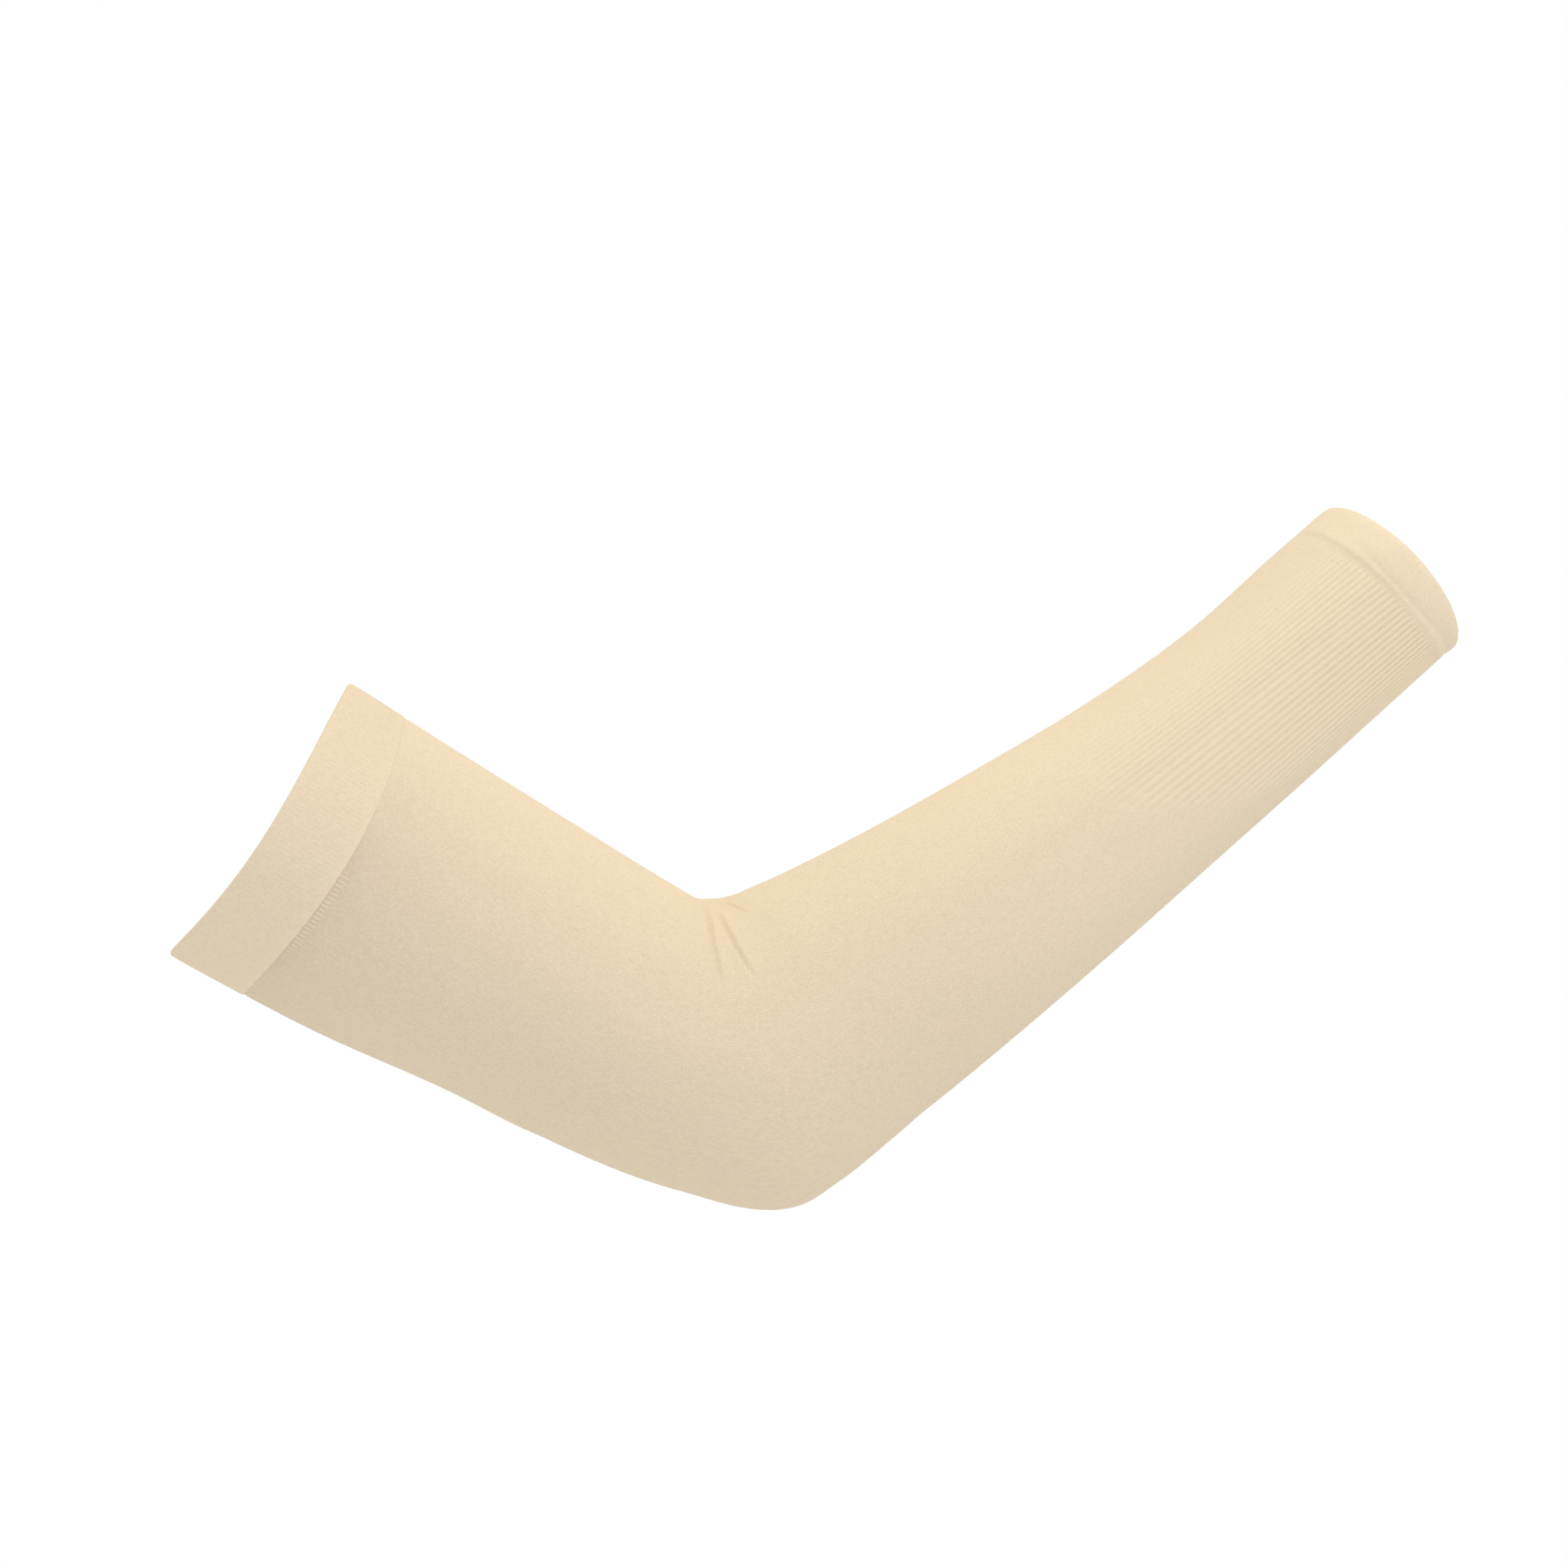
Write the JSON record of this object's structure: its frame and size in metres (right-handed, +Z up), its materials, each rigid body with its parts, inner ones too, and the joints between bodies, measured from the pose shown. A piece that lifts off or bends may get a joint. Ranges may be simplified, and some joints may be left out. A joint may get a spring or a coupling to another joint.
{
  "type": "arm sleeve",
  "caption": "Knitted arm sleeve in its worn form, a seamless tube bent at the elbow, with a turned welt at the upper arm and the wrist and ribbing down the lower forearm.",
  "frame": {"origin": "middle of the upper-arm opening, where the sleeve sits on the arm", "axes": "the arm lies in the XZ plane: +X towards the wrist, +Z up, +Y across the arm"},
  "size_m": [0.3938, 0.09, 0.2176],
  "materials": {
    "body_knit": "matte beige jersey knit with fine grain and ribs",
    "cuff_knit": "matte beige doubled knit welt with fine ribs"
  },
  "bodies": {
    "root": {"sleeve_body": "body_knit", "upper_cuff": "cuff_knit", "wrist_cuff": "cuff_knit"}
  },
  "joints": []
}
